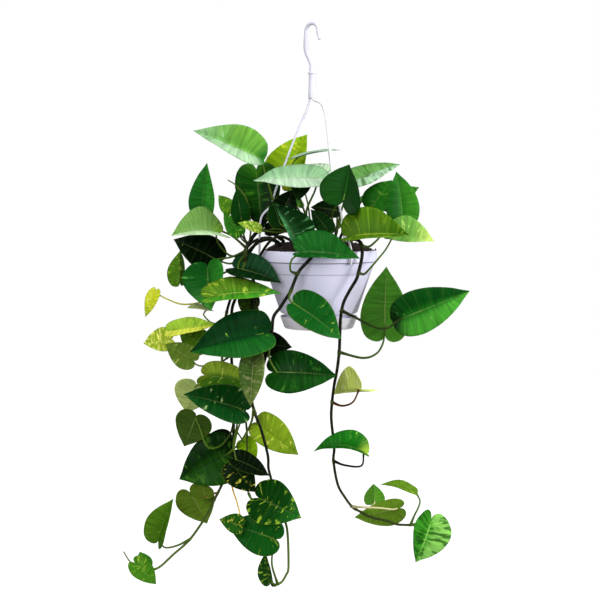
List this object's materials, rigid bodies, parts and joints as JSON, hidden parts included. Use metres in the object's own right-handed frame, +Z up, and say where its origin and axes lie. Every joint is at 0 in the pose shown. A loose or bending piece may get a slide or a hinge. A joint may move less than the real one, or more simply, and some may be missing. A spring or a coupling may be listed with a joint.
{
  "type": "hanging potted trailing plant",
  "caption": "Hanging pot of variegated pothos with drip saucer, stranded plastic hanger, soil, a leafy crown and long trailing vines.",
  "frame": {"origin": "the seat of the hanger's hook, where a ceiling hook or a rail carries the plant", "axes": "+Z up, -Y towards the front that the picture shows, +X to the right of that front"},
  "size_m": [0.4772, 0.2742, 0.7779],
  "materials": {
    "hanger_plastic": "smooth, slightly glossy",
    "pot_plastic": "satin, lavender white",
    "saucer_plastic": "satin, light grey",
    "potting_soil": "dark and crumbly",
    "foliage": "waxy leaf, green with yellow-green patches"
  },
  "bodies": {
    "root": {"hanger_hook": "hanger_plastic", "hanger_strand_left": "hanger_plastic", "hanger_strand_front": "hanger_plastic", "hanger_strand_back": "hanger_plastic", "pot": "pot_plastic", "saucer": "saucer_plastic", "soil": "potting_soil", "vine_right": "foliage", "vine_front": "foliage", "vine_left": "foliage", "vine_cluster": "foliage", "vine_upper_left": "foliage", "vine_rear_left": "foliage", "vine_inner": "foliage", "vine_back": "foliage", "shoot_left": "foliage", "shoot_middle": "foliage", "shoot_right": "foliage", "shoot_front": "foliage", "shoot_right_front": "foliage", "shoot_rear_right": "foliage", "shoot_rear_left": "foliage"}
  },
  "joints": []
}
